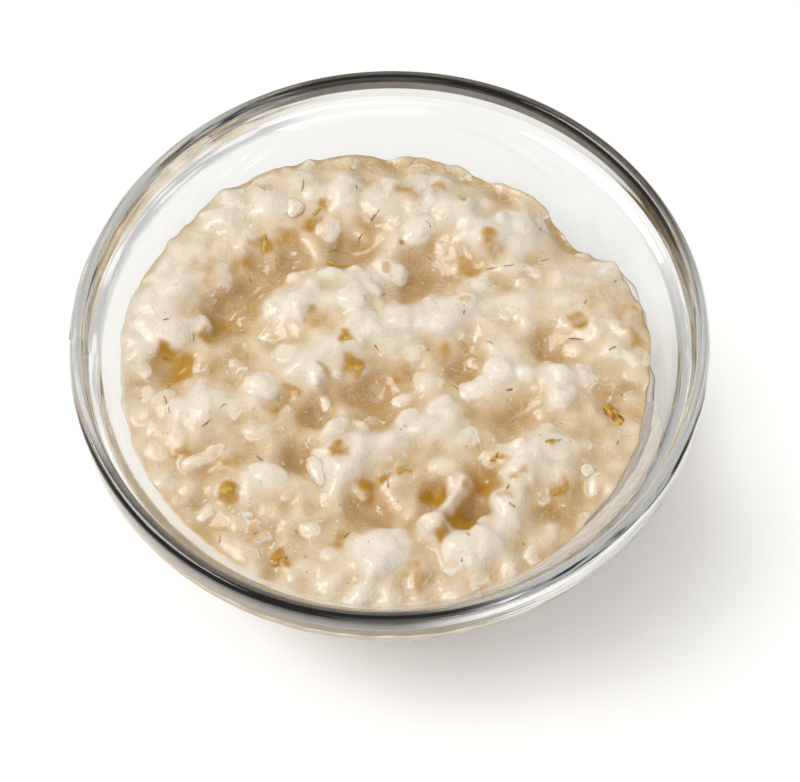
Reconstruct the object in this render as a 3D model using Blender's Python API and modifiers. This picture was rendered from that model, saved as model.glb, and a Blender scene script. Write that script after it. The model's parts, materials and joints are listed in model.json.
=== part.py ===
"""A round pressed-glass bowl holding a helping of thick porridge.

The bowl stands on the origin with +Z up. Its wall is turned about +Z: a rounded lip, a straight
collar, a small stacking ledge and a round body that stands on a short flat foot. The porridge
fills it from the glass up to an uneven top of mounds, hollows and swollen lumps.
"""
import math
import random

import bpy

# Bowl, in metres
RIM_RADIUS = 0.070
BOWL_HEIGHT = 0.052
LIP_ROUNDING = 0.0016
LIP_INNER_RADIUS = RIM_RADIUS - 2 * LIP_ROUNDING
INNER_CURVE_RADIUS = 0.0716
INNER_CURVE_CENTRE = BOWL_HEIGHT + 0.0249
INNER_LEDGE_TOP = 0.0064
INNER_LEDGE_BOTTOM = 0.0084
COLLAR_HEIGHT = 0.0086
COLLAR_EDGE_ROUNDING = 0.0012
COLLAR_EDGE_TURN = -70.0
COLLAR_STEP = 0.0026
COLLAR_DRAFT = 0.14
FLOOR_START = -86.0
WALL_THICKNESS = 0.0039
FOOT_RADIUS = 0.0295
FOOT_EDGE_ROUNDING = 0.0012
FOOT_WALL_HEIGHT = 0.0034
BODY_FOOT_JOIN = 0.0365

# Porridge, in metres
FILL_HEIGHT = 0.0356
FILL_TILT_LEFT = 0.0018
FILL_TILT_FRONT = 0.0013
GLASS_GAP = 0.0003
TOP_RINGS = 20
WALL_RINGS = 8
WALL_BLEND_START = 0.9
EDGE_DROP = 0.0008
SAME_LEVEL = 0.000001
LUMP_COUNT = 110
LUMP_REACH = 0.057
LUMP_SEED = 7
LUMP_TURN_JITTER = 0.25
LUMP_RADII = (0.0028, 0.0046)
LUMP_HEIGHTS = (0.0008, 0.0022)

AROUND = 68

# Broad shape of the top: (x, y, radius, height) of each round mound or hollow
MOUNDS = (
    (-0.051, 0.006, 0.011, 0.0026),
    (-0.047, 0.024, 0.011, 0.0030),
    (-0.037, 0.037, 0.011, 0.0028),
    (-0.022, 0.045, 0.011, 0.0026),
    (-0.006, 0.048, 0.011, 0.0022),
    (0.010, 0.047, 0.011, 0.0016),
    (0.028, 0.040, 0.012, 0.0012),
    (-0.023, 0.018, 0.008, 0.0030),
    (-0.011, 0.021, 0.007, 0.0026),
    (-0.027, -0.007, 0.006, 0.0024),
    (-0.040, -0.018, 0.012, 0.0014),
    (-0.009, -0.022, 0.009, 0.0018),
    (0.002, -0.029, 0.008, 0.0018),
    (-0.001, -0.050, 0.007, 0.0030),
    (0.013, -0.034, 0.005, 0.0018),
    (0.034, 0.020, 0.012, 0.0016),
    (0.050, 0.008, 0.010, 0.0022),
    (-0.028, -0.036, 0.010, 0.0012),
    (-0.036, 0.012, 0.008, -0.0034),
    (-0.033, -0.003, 0.007, -0.0020),
    (-0.019, -0.025, 0.006, -0.0026),
    (-0.011, -0.038, 0.008, -0.0018),
    (0.024, -0.010, 0.009, -0.0016),
    (0.004, 0.030, 0.008, -0.0018),
    (0.010, -0.040, 0.006, -0.0016),
    (-0.010, -0.055, 0.007, -0.0016),
)

# Long ridges: (start x, start y, end x, end y, half width, height)
RIDGES = (
    (-0.020, -0.002, 0.012, 0.016, 0.008, 0.0028),
    (0.046, -0.017, 0.020, -0.043, 0.008, 0.0024),
    (0.004, -0.016, 0.022, 0.000, 0.007, 0.0016),
)


def smooth_step(value):
    """0 below 0, 1 above 1, and an even slope between."""
    clipped = min(1.0, max(0.0, value))
    return clipped * clipped * (3.0 - 2.0 * clipped)


def bell(distance, radius):
    """A rounded hump that is 1 at its middle and dies away past its radius."""
    return math.exp(-((distance / radius) ** 2))


def new_material(name, colour, roughness, transmission=0.0, ior=1.45, subsurface=0.0):
    material = bpy.data.materials.new(name)
    material.use_nodes = True
    material.diffuse_color = colour
    shader = material.node_tree.nodes["Principled BSDF"]
    shader.inputs["Base Color"].default_value = colour
    shader.inputs["Roughness"].default_value = roughness
    shader.inputs["Transmission Weight"].default_value = transmission
    shader.inputs["IOR"].default_value = ior
    shader.inputs["Subsurface Weight"].default_value = subsurface
    return material


def arc(centre_x, centre_z, radius, start_deg, end_deg, steps):
    """Points (x, z) along a circular arc, both ends included."""
    points = []
    for step in range(steps + 1):
        angle = math.radians(start_deg + (end_deg - start_deg) * step / steps)
        points.append((centre_x + radius * math.cos(angle), centre_z + radius * math.sin(angle)))
    return points


def bend(start, corner, end, steps):
    """Points on a smooth bend that leaves start towards corner and reaches end from it, ends included."""
    points = []
    for step in range(steps + 1):
        share = step / steps
        left = (1.0 - share) ** 2
        middle = 2.0 * share * (1.0 - share)
        right = share**2
        x = left * start[0] + middle * corner[0] + right * end[0]
        z = left * start[1] + middle * corner[1] + right * end[1]
        points.append((x, z))
    return points


def curve_radius(height, curve):
    """Radius at a height of a ball centred on the axis at INNER_CURVE_CENTRE."""
    drop = INNER_CURVE_CENTRE - height
    return math.sqrt(max(0.0, curve * curve - drop * drop))


def inner_radius(height):
    """Radius of the bowl's inner wall at a height above the table."""
    below_rim = BOWL_HEIGHT - height
    ball = curve_radius(height, INNER_CURVE_RADIUS)
    share = smooth_step((below_rim - INNER_LEDGE_TOP) / (INNER_LEDGE_BOTTOM - INNER_LEDGE_TOP))
    collar = LIP_INNER_RADIUS - COLLAR_DRAFT * max(0.0, below_rim - LIP_ROUNDING)
    return collar + (ball - collar) * share


def bowl_profile():
    """Section of the glass, from the middle of the inside, over the lip, to the middle of the foot."""
    floor_height = INNER_CURVE_CENTRE - INNER_CURVE_RADIUS
    ledge_height = BOWL_HEIGHT - INNER_LEDGE_BOTTOM
    points = [(0.0, floor_height)]
    end_angle = math.degrees(math.asin((ledge_height - INNER_CURVE_CENTRE) / INNER_CURVE_RADIUS))
    points += arc(0.0, INNER_CURVE_CENTRE, INNER_CURVE_RADIUS, FLOOR_START, end_angle, 12)
    for share in (0.3, 0.6, 1.0):
        height = ledge_height + (INNER_LEDGE_BOTTOM - INNER_LEDGE_TOP) * share
        points.append((inner_radius(height), height))
    lip_height = BOWL_HEIGHT - LIP_ROUNDING
    lip_middle = RIM_RADIUS - LIP_ROUNDING
    points += arc(lip_middle, lip_height, LIP_ROUNDING, 180.0, 0.0, 8)
    collar_bottom = BOWL_HEIGHT - COLLAR_HEIGHT
    corner = RIM_RADIUS - COLLAR_EDGE_ROUNDING
    points += arc(corner, collar_bottom, COLLAR_EDGE_ROUNDING, 0.0, COLLAR_EDGE_TURN, 3)
    outer_curve = INNER_CURVE_RADIUS + WALL_THICKNESS
    from_centre = collar_bottom - COLLAR_STEP - INNER_CURVE_CENTRE
    body_top = math.degrees(math.asin(from_centre / outer_curve))
    body_end = -math.degrees(math.acos(BODY_FOOT_JOIN / outer_curve))
    points += arc(0.0, INNER_CURVE_CENTRE, outer_curve, body_top, body_end, 8)
    join_slope = math.tan(math.radians(90.0 + body_end))
    corner_height = points[-1][1] - (BODY_FOOT_JOIN - FOOT_RADIUS) * join_slope
    foot_top = (FOOT_RADIUS, FOOT_WALL_HEIGHT)
    points += bend(points[-1], (FOOT_RADIUS, corner_height), foot_top, 4)[1:]
    foot_middle = FOOT_RADIUS - FOOT_EDGE_ROUNDING
    points += arc(foot_middle, FOOT_EDGE_ROUNDING, FOOT_EDGE_ROUNDING, 0.0, -90.0, 3)
    points.append((0.0, 0.0))
    return points


def turned(name, profile, collection, material):
    """An object turned about +Z from a profile at +X."""
    mesh = bpy.data.meshes.new(name)
    edges = [(index, index + 1) for index in range(len(profile) - 1)]
    mesh.from_pydata([(x, 0.0, z) for x, z in profile], edges, [])
    part = bpy.data.objects.new(name, mesh)
    collection.objects.link(part)
    mesh.materials.append(material)
    screw = part.modifiers.new("turn", "SCREW")
    screw.axis = "Z"
    screw.steps = AROUND
    screw.render_steps = AROUND
    screw.use_merge_vertices = True
    screw.merge_threshold = 0.00001
    screw.use_smooth_shade = True
    return part


def lumps():
    """Swollen lumps spread evenly over the top: (x, y, radius, height)."""
    chance = random.Random(LUMP_SEED)
    turn = math.pi * (3.0 - math.sqrt(5.0))
    made = []
    for index in range(LUMP_COUNT):
        reach = LUMP_REACH * math.sqrt((index + 0.5) / LUMP_COUNT)
        angle = index * turn + chance.uniform(-LUMP_TURN_JITTER, LUMP_TURN_JITTER)
        radius = chance.uniform(*LUMP_RADII)
        height = chance.uniform(*LUMP_HEIGHTS)
        made.append((reach * math.cos(angle), reach * math.sin(angle), radius, height))
    return made


def line_distance(x, y, ridge):
    """Distance of (x, y) from the middle line of a ridge."""
    start_x, start_y, end_x, end_y = ridge[:4]
    along_x = end_x - start_x
    along_y = end_y - start_y
    share = ((x - start_x) * along_x + (y - start_y) * along_y) / (along_x**2 + along_y**2)
    share = min(1.0, max(0.0, share))
    return math.hypot(x - start_x - share * along_x, y - start_y - share * along_y)


def top_height(x, y, scattered):
    """Height of the porridge's top above the table."""
    height = FILL_HEIGHT - (FILL_TILT_LEFT * x + FILL_TILT_FRONT * y) / RIM_RADIUS
    for mound_x, mound_y, radius, rise in MOUNDS:
        height += rise * bell(math.hypot(x - mound_x, y - mound_y), radius)
    for ridge in RIDGES:
        height += ridge[5] * bell(line_distance(x, y, ridge), ridge[4])
    highest = 0.0
    for lump_x, lump_y, radius, rise in scattered:
        highest = max(highest, rise * bell(math.hypot(x - lump_x, y - lump_y), radius))
    return height + highest


def edge_height(angle, scattered):
    """Height at which the porridge meets the glass in a direction, found by closing in on the wall."""
    height = FILL_HEIGHT
    reach = inner_radius(height)
    for _ in range(6):
        height = top_height(reach * math.cos(angle), reach * math.sin(angle), scattered) - EDGE_DROP
        reach = inner_radius(height) - GLASS_GAP
    return height


def porridge_profile():
    """Section of the helping before its top is made uneven, from the middle of the top to the bottom."""
    ball = INNER_CURVE_RADIUS - GLASS_GAP
    edge = curve_radius(FILL_HEIGHT, ball)
    points = []
    for ring in range(TOP_RINGS):
        points.append((edge * ring / TOP_RINGS, FILL_HEIGHT))
    edge_angle = math.degrees(math.asin((FILL_HEIGHT - INNER_CURVE_CENTRE) / ball))
    points += arc(0.0, INNER_CURVE_CENTRE, ball, edge_angle, -90.0, WALL_RINGS)
    points[-1] = (0.0, INNER_CURVE_CENTRE - ball)
    return points


def make_top_uneven(mesh):
    """Raise and lower the flat top, and bring its rim to where the porridge meets the glass."""
    scattered = lumps()
    flat_edge = curve_radius(FILL_HEIGHT, INNER_CURVE_RADIUS - GLASS_GAP)
    for vertex in mesh.vertices:
        if abs(vertex.co.z - FILL_HEIGHT) > SAME_LEVEL:
            continue
        share = math.hypot(vertex.co.x, vertex.co.y) / flat_edge
        angle = math.atan2(vertex.co.y, vertex.co.x)
        edge = edge_height(angle, scattered)
        reach = share * (inner_radius(edge) - GLASS_GAP)
        x = reach * math.cos(angle)
        y = reach * math.sin(angle)
        height = top_height(x, y, scattered)
        near_wall = smooth_step((share - WALL_BLEND_START) / (1.0 - WALL_BLEND_START))
        vertex.co = (x, y, height + (edge - height) * near_wall)


def porridge(collection, material):
    """The helping: its underside follows the glass and its top is uneven."""
    part = turned("porridge", porridge_profile(), collection, material)
    evaluated = part.evaluated_get(bpy.context.evaluated_depsgraph_get())
    mesh = bpy.data.meshes.new_from_object(evaluated)
    part.modifiers.clear()
    part.data = mesh
    make_top_uneven(mesh)


for leftover in list(bpy.data.objects):
    bpy.data.objects.remove(leftover)

glass = new_material("clear_glass", (0.93, 0.96, 0.95, 1.0), 0.02, transmission=1.0, ior=1.5)
creamy = new_material("porridge", (0.80, 0.69, 0.52, 1.0), 0.32, subsurface=0.35)

dish = bpy.data.collections.new("bowl_of_porridge")
bpy.context.scene.collection.children.link(dish)
turned("bowl", bowl_profile(), dish, glass)
porridge(dish, creamy)
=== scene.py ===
"""Looks of a clear glass bowl of thick porridge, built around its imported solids.

Pieces: the turned glass bowl, the helping with its lumpy top, the whole swollen grains that stand out
of it, the husks, bran slivers and specks that lie on it, and the thin gel on the glass.
Sizes are in metres.
"""

import json
import math
import random

import bmesh
import bpy
import numpy as np
from mathutils import Euler, Matrix, Vector

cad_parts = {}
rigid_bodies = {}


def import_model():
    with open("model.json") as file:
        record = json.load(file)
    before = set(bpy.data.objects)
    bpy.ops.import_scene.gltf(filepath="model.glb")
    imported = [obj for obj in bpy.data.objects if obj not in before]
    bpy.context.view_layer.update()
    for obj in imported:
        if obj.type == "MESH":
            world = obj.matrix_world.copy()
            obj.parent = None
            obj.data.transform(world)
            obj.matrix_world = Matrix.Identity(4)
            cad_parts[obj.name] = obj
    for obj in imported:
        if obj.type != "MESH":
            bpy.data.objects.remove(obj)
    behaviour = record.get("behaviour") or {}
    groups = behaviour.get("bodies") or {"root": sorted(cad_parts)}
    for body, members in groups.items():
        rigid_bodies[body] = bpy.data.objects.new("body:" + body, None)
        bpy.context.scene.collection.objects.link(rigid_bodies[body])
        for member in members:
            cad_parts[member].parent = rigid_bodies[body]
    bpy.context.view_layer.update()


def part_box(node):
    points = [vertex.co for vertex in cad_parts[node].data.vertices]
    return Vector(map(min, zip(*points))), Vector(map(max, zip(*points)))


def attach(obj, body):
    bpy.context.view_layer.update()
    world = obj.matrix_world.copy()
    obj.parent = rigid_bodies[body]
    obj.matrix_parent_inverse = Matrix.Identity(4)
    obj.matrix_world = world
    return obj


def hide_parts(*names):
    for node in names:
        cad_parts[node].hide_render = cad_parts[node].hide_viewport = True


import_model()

MM = 0.001

# The bowl, from its solid's box and the sizes of its section
bowl_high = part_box("bowl")[1]
RIM_RADIUS = bowl_high.x
BOWL_HEIGHT = bowl_high.z
LIP_ROUNDING = 1.6 * MM
LIP_INNER_RADIUS = RIM_RADIUS - 2.0 * LIP_ROUNDING
INNER_CURVE = 71.6 * MM
CURVE_CENTRE = BOWL_HEIGHT + 24.9 * MM
# How far below the rim the lip's painted shade reaches
LIP_PAINTED_SHADE_DEPTH = 3.4 * MM
LEDGE_TOP = 6.4 * MM
LEDGE_BOTTOM = 8.4 * MM
COLLAR_HEIGHT = 8.6 * MM
COLLAR_EDGE = 1.2 * MM
COLLAR_STEP = 2.6 * MM
WALL = 3.9 * MM
FOOT_RADIUS = 29.5 * MM
FOOT_EDGE = 1.2 * MM
FOOT_WALL = 3.4 * MM
BODY_FOOT_JOIN = 36.5 * MM
GLASS_SIDES = 288

# The helping: its level at the middle, and how much higher it stands at the left and at the front
FILL_HEIGHT = 35.3 * MM
TILT_LEFT = 1.8 * MM
TILT_FRONT = 1.3 * MM
INTO_GLASS = 0.2 * MM
EDGE_GUESS = 59.0 * MM
EDGE_CREEP = 0.4 * MM
EDGE_CREEP_REACH = 0.7 * MM
CORE_BELOW_GRAIN = 0.8 * MM
LEAST_STANDING_OUT = 0.55 * MM
BOLDER = 1.3
TOP_CELLS = 280
WALL_RINGS = 12

# The raster on which the top is worked out
RASTER_HALF = 63.0 * MM
RASTER_STEP = 0.25 * MM

rng = np.random.default_rng(20)
chance = random.Random(12)


# ---------------------------------------------------------------- writing node trees

class Signal:
    """A node's output that takes part in Python arithmetic."""

    def __init__(self, writer, socket):
        self.writer = writer
        self.socket = socket

    def maths(self, operation, *others):
        return self.writer.maths(operation, self, *others)

    def between(self, low, high):
        """0 below low, 1 above high and a soft rise between."""
        settings = {"interpolation_type": "SMOOTHSTEP"}
        return self.writer.node("ShaderNodeMapRange", settings, {"Value": self, 1: low, 2: high})


def forward(operation):
    return lambda signal, other: signal.writer.maths(operation, signal, other)


def backward(operation):
    return lambda signal, other: signal.writer.maths(operation, other, signal)


for sign, operation in (("add", "ADD"), ("sub", "SUBTRACT"), ("mul", "MULTIPLY"), ("truediv", "DIVIDE")):
    setattr(Signal, f"__{sign}__", forward(operation))
    setattr(Signal, f"__r{sign}__", backward(operation))


class Writer:
    """Adds nodes to a tree: settings first, then the values or links of the sockets."""

    def __init__(self, tree):
        self.tree = tree

    def node(self, kind, settings=None, sockets=None, out=0):
        made = self.tree.nodes.new(kind)
        for name, value in (settings or {}).items():
            if name == "stops":
                self.set_stops(made.color_ramp, value)
            else:
                setattr(made, name, value)
        for name, value in (sockets or {}).items():
            self.fill(made.inputs[name], value)
        return Signal(self, made.outputs[out])

    def fill(self, socket, value):
        if isinstance(value, Signal):
            self.tree.links.new(value.socket, socket)
        elif socket.type == "RGBA":
            socket.default_value = (*value, 1.0)
        else:
            socket.default_value = value

    def set_stops(self, ramp, stops):
        while len(ramp.elements) < len(stops):
            ramp.elements.new(1.0)
        for element, (place, colour) in zip(ramp.elements, stops):
            element.position = place
            element.color = (*colour, 1.0)

    def maths(self, operation, *values):
        return self.node("ShaderNodeMath", {"operation": operation}, dict(enumerate(values)))

    def vectors(self, operation, first, second):
        """Vector maths; SCALE takes a number and the rest another vector."""
        other = "Scale" if operation == "SCALE" else 1
        return self.node("ShaderNodeVectorMath", {"operation": operation}, {0: first, other: second})

    def vector(self, x=0.0, y=0.0, z=0.0):
        return self.node("ShaderNodeCombineXYZ", {}, {0: x, 1: y, 2: z})

    def mixed(self, share, first, second):
        """A colour between first and second."""
        return self.node("ShaderNodeMix", {"data_type": "RGBA"}, {0: share, 6: first, 7: second}, out=2)

    def attribute(self, name, out=2):
        return self.node("ShaderNodeAttribute", {"attribute_name": name}, out=out)

    def stored(self, name, kind):
        return self.node("GeometryNodeInputNamedAttribute", {"data_type": kind}, {"Name": name})

    def object_place(self):
        return self.node("ShaderNodeTexCoord", out=3)

    def relief(self, strength, distance, height):
        sockets = {"Strength": strength, "Distance": distance, "Height": height}
        return self.node("ShaderNodeBump", {}, sockets)

    def parts(self, vector):
        """The x, y and z of a vector."""
        split = self.node("ShaderNodeSeparateXYZ", {}, {0: vector}).socket.node
        return [Signal(self, split.outputs[index]) for index in range(3)]

    def noise(self, place, scale, detail=2.0, roughness=0.5, out=0):
        sockets = {"Vector": place, "Scale": scale, "Detail": detail, "Roughness": roughness}
        return self.node("ShaderNodeTexNoise", {}, sockets, out)


def new_finish(name):
    """A new material, its writer and its Principled shader."""
    material = bpy.data.materials.new(name)
    material.use_nodes = True
    return material, Writer(material.node_tree), material.node_tree.nodes["Principled BSDF"]


def set_shader(writer, shader, values):
    for name, value in values.items():
        writer.fill(shader.inputs[name], value)


def new_tree(name, inputs):
    """A Geometry Nodes tree with a geometry in and out and named inputs: (name, kind of socket, value)."""
    tree = bpy.data.node_groups.new(name, "GeometryNodeTree")
    tree.interface.new_socket(name="Geometry", in_out="INPUT", socket_type="NodeSocketGeometry")
    for title, kind, value in inputs:
        socket = tree.interface.new_socket(name=title, in_out="INPUT", socket_type=f"NodeSocket{kind}")
        if value is not None:
            socket.default_value = value
    tree.interface.new_socket(name="Geometry", in_out="OUTPUT", socket_type="NodeSocketGeometry")
    writer = Writer(tree)
    entry = tree.nodes.new("NodeGroupInput")
    ends = {socket.name: Signal(writer, socket) for socket in entry.outputs if socket.name}
    return tree, writer, ends


def end_tree(writer, geometry, material):
    """Make real faces of the geometry, give them their finish and hand them out."""
    joined = writer.node("GeometryNodeRealizeInstances", {}, {"Geometry": geometry})
    covered = writer.node("GeometryNodeSetMaterial", {}, {"Geometry": joined, "Material": material})
    writer.fill(writer.tree.nodes.new("NodeGroupOutput").inputs[0], covered)


def run_tree(part, tree, values):
    """Run a tree on an object and leave its result there as a plain mesh."""
    modifier = part.modifiers.new(tree.name, "NODES")
    modifier.node_group = tree
    for item in tree.interface.items_tree:
        if item.in_out == "INPUT" and item.name in values:
            modifier[item.identifier] = values[item.name]
    graph = bpy.context.evaluated_depsgraph_get()
    mesh = bpy.data.meshes.new_from_object(part.evaluated_get(graph))
    mesh.name = part.name
    part.modifiers.clear()
    part.data = mesh
    return part


# ---------------------------------------------------------------- meshes

def new_object(name, data):
    made = bpy.data.objects.new(name, data)
    bpy.context.scene.collection.objects.link(made)
    return made


def new_piece(name, points, edges=(), faces=()):
    mesh = bpy.data.meshes.new(name)
    mesh.from_pydata([tuple(point) for point in points], list(edges), list(faces))
    return new_object(name, mesh)


def store(mesh, name, values, kind="FLOAT"):
    """Keep one value, or one vector, for each point of a mesh."""
    attribute = mesh.attributes.new(name, kind, "POINT")
    field = "vector" if kind == "FLOAT_VECTOR" else "value"
    attribute.data.foreach_set(field, np.asarray(values, np.float32).ravel())


def face_outwards(mesh):
    shape = bmesh.new()
    shape.from_mesh(mesh)
    bmesh.ops.recalc_face_normals(shape, faces=shape.faces)
    shape.to_mesh(mesh)
    shape.free()


def belongs(piece, node):
    """Ride on the part's one body and stand for a solid."""
    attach(piece, "root")
    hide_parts(node)


# ---------------------------------------------------------------- the bowl

def arc(centre_x, centre_z, radius, start_deg, end_deg, steps):
    angles = np.radians(np.linspace(start_deg, end_deg, steps + 1))
    return list(zip(centre_x + radius * np.cos(angles), centre_z + radius * np.sin(angles)))


def bend(start, corner, end, steps):
    """A curve from start to end that leans towards a corner."""
    share = np.linspace(0.0, 1.0, steps + 1)
    weights = np.column_stack(((1.0 - share) ** 2, 2.0 * share * (1.0 - share), share**2))
    return [tuple(point) for point in weights @ np.array((start, corner, end))]


def ball_radius(height, ball):
    return np.sqrt(np.maximum(0.0, ball**2 - (CURVE_CENTRE - height) ** 2))


def soft_rise(share):
    share = np.clip(share, 0.0, 1.0)
    return share * share * (3.0 - 2.0 * share)


def inner_radius(height):
    """Radius of the inside of the glass at a height above the table."""
    below_rim = BOWL_HEIGHT - height
    collar = LIP_INNER_RADIUS - 0.14 * np.maximum(0.0, below_rim - LIP_ROUNDING)
    share = soft_rise((below_rim - LEDGE_TOP) / (LEDGE_BOTTOM - LEDGE_TOP))
    return collar + (ball_radius(height, INNER_CURVE) - collar) * share


def glass_section():
    """Section of the glass from the middle of the inside, over the lip, to the middle of the foot."""
    ledge_height = BOWL_HEIGHT - LEDGE_BOTTOM
    ledge_angle = math.degrees(math.asin((ledge_height - CURVE_CENTRE) / INNER_CURVE))
    points = [(0.0, CURVE_CENTRE - INNER_CURVE)]
    points += arc(0.0, CURVE_CENTRE, INNER_CURVE, -89.0, ledge_angle, 34)
    for share in np.linspace(0.0, 1.0, 9)[1:]:
        height = ledge_height + (LEDGE_BOTTOM - LEDGE_TOP) * share
        points.append((float(inner_radius(height)), height))
    lip_height = BOWL_HEIGHT - LIP_ROUNDING
    points.append((float(inner_radius(lip_height - 2.2 * MM)), lip_height - 2.2 * MM))
    points += arc(RIM_RADIUS - LIP_ROUNDING, lip_height, LIP_ROUNDING, 180.0, 0.0, 22)
    collar_bottom = BOWL_HEIGHT - COLLAR_HEIGHT
    points.append((RIM_RADIUS, (lip_height + collar_bottom) / 2.0))
    points += arc(RIM_RADIUS - COLLAR_EDGE, collar_bottom, COLLAR_EDGE, 0.0, -72.0, 8)
    outer = INNER_CURVE + WALL
    body_top = math.degrees(math.asin((collar_bottom - COLLAR_STEP - CURVE_CENTRE) / outer))
    body_end = -math.degrees(math.acos(BODY_FOOT_JOIN / outer))
    points += arc(0.0, CURVE_CENTRE, outer, body_top, body_end, 20)
    join_slope = math.tan(math.radians(90.0 + body_end))
    corner = (FOOT_RADIUS, points[-1][1] - (BODY_FOOT_JOIN - FOOT_RADIUS) * join_slope)
    points += bend(points[-1], corner, (FOOT_RADIUS, FOOT_WALL), 8)[1:]
    points += arc(FOOT_RADIUS - FOOT_EDGE, FOOT_EDGE, FOOT_EDGE, 0.0, -90.0, 7)
    points.append((0.0, 0.0))
    return points


def turning_tree():
    """Turns a line of points (x, 0, z) about +Z into a closed shell."""
    inputs = (
        ("Sides", "Int", GLASS_SIDES),
        ("Section Points", "Int", 3),
        ("Material", "Material", None),
    )
    tree, w, ends = new_tree("turn_about_axis", inputs)
    spokes = ends["Sides"] + 1.0
    grid = w.node("GeometryNodeMeshGrid", {}, {"Vertices X": ends["Section Points"], "Vertices Y": spokes})
    index = w.node("GeometryNodeInputIndex")
    along = (index / spokes).maths("FLOOR")
    turn = (index - along * spokes) / ends["Sides"] * math.tau
    place = w.node("GeometryNodeInputPosition")
    settings = {"data_type": "FLOAT_VECTOR"}
    sockets = {"Geometry": ends["Geometry"], "Value": place, "Index": along}
    section = w.node("GeometryNodeSampleIndex", settings, sockets)
    radius, _flat, height = w.parts(section)
    placed = w.vector(radius * turn.maths("COSINE"), radius * turn.maths("SINE"), height)
    shell = w.node("GeometryNodeSetPosition", {}, {"Geometry": grid, "Position": placed})
    closed = w.node("GeometryNodeMergeByDistance", {}, {"Geometry": shell, "Distance": 0.002 * MM})
    smooth = w.node("GeometryNodeSetShadeSmooth", {}, {"Geometry": closed, "Shade Smooth": True})
    end_tree(w, smooth, ends["Material"])
    return tree


def clear_glass():
    """Colourless pressed glass; light from the lamps passes through to what it holds. Its lip is painted
    dark at the back and front as painted shade, and streaked at the sides with a metallic painted
    reflection.
    """
    material, w, shader = new_finish("clear_pressed_glass")
    place = w.object_place()
    ripple = w.noise(place, 55.0, 1.0)
    fine = w.noise(place, 900.0, 2.0)
    smears = w.noise(place, 240.0, 3.0).between(0.55, 0.8)
    x, y, z = w.parts(place)
    # Painted shade: the top of the lip is tinted almost black at the back and at the front, where the rim
    # shows dark, fading out towards the sides.
    back = (y * 0.91 + x * 0.42).maths("MAXIMUM", 0.0)
    front = (y * -0.87 - x * 0.50).maths("MAXIMUM", 0.0)
    around = x * x + y * y + MM * MM
    shade = (back * back / around).between(0.15, 0.65) + (front * front / around).between(0.38, 0.75)
    lip = (z - (BOWL_HEIGHT - LIP_PAINTED_SHADE_DEPTH)).between(0.0, 0.25 * MM)
    painted_lip_shade = lip * shade * (0.94 + ripple * 0.06)
    # Painted reflection: streaks of metal sheen near the rim at the left and right sides stand in for
    # bright reflections of the lamps in the lip.
    lines = w.vector(around.maths("SQRT"), y.maths("ARCTAN2", x) * 4.0 * MM, z)
    across = x * 0.87 - y * 0.50
    near_rim = (z - (BOWL_HEIGHT - LEDGE_BOTTOM)).between(0.0, MM)
    sheen_sides = (across * across / around).between(0.35, 0.75) * near_rim
    painted_lip_sheen = sheen_sides * w.noise(lines, 1100.0, 2.0).between(0.38, 0.54) * 0.85
    set_shader(w, shader, {
        "Base Color": w.mixed(painted_lip_shade, (0.915, 0.928, 0.922), (0.012, 0.007, 0.002)),
        "Metallic": painted_lip_sheen,
        "Roughness": smears * 0.012 + painted_lip_sheen * 0.1,
        "IOR": 1.5,
        "Transmission Weight": 1.0,
        "Normal": w.relief(0.05, 0.4 * MM, ripple + fine * 0.02),
    })
    shadow = w.node("ShaderNodeLightPath", out=1)
    through = w.node("ShaderNodeBsdfTransparent", {}, {"Color": (0.745, 0.750, 0.745)})
    glass = Signal(w, shader.outputs["BSDF"])
    both = w.node("ShaderNodeMixShader", {}, {0: shadow, 1: glass, 2: through})
    w.fill(material.node_tree.nodes["Material Output"].inputs["Surface"], both)
    return material


def make_bowl():
    section = glass_section()
    line = [(x, 0.0, z) for x, z in section]
    edges = [(index, index + 1) for index in range(len(line) - 1)]
    bowl = new_piece("glass_bowl", line, edges)
    sizes = {"Sides": GLASS_SIDES, "Section Points": len(line), "Material": clear_glass()}
    run_tree(bowl, turning_tree(), sizes)
    face_outwards(bowl.data)
    belongs(bowl, "bowl")


# ---------------------------------------------------------------- the helping's top

# Broad shape, in millimetres: (x, y, radius, height) of each round mound or hollow
MOUNDS = (
    (-53, 11, 8, 2.4), (-46, 23, 9, 2.6), (-34, 39, 10, 2.6), (-20, 44, 8, 2.4), (-8, 46, 8, 2.4),
    (6, 42, 9, 2.4), (17, 42, 7, 2.4), (25, 33, 6, 2.4), (33, 34, 7, 1.8), (-20, 15, 8, 3.4),
    (-8, 17, 7, 3.0), (0, 25, 6, 1.8), (-12, -27, 8, 2.4), (-3, -48, 8, 2.6), (14, -47, 6, 2.0),
    (38, -7, 6, 2.0), (24, -4, 7, 2.0), (32, 11, 10, 1.6), (51, 6, 8, 2.6), (46, 20, 8, 2.0),
    (36, -24, 8, 1.4), (-42, -10, 8, 1.8), (-30, -8, 7, 1.8), (-31, -29, 8, 1.8), (-47, -17, 8, 1.0),
    (-37, 15, 5.5, -3.4), (-30, 22, 5, -2.6), (-22, 28, 4.5, -2.0), (-7, 30, 4, -2.4), (8, 23, 7, -2.4),
    (-20, -24, 3.5, -3.2), (-17, -13, 4, -1.8), (-3, -10, 7, -2.4), (-6, -36, 7, -2.0),
    (9, -33, 3, -3.2), (17, -37, 4.5, -3.4), (20, -30, 3.5, -2.4), (26, -14, 7, -1.6), (36, 3, 5, -2.2),
    (46, 36, 10, -4.0), (24, 52, 10, -2.0), (0, 62, 12, -1.2), (17, -1, 4.5, -2.2), (-49, -1, 5, -2.2),
    (40, -38, 8, -1.2), (-40, -38, 9, -0.6),
)

# Long ridges, in millimetres: (start x, start y, end x, end y, half width, height)
RIDGES = (
    (-20, 0, 14, 14, 6, 3.0), (29, -24, 20, -46, 5, 2.4), (-8, -22, 12, -15, 5, 2.0),
    (15, -31, 8, -43, 2.2, 4.0),
)

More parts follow.
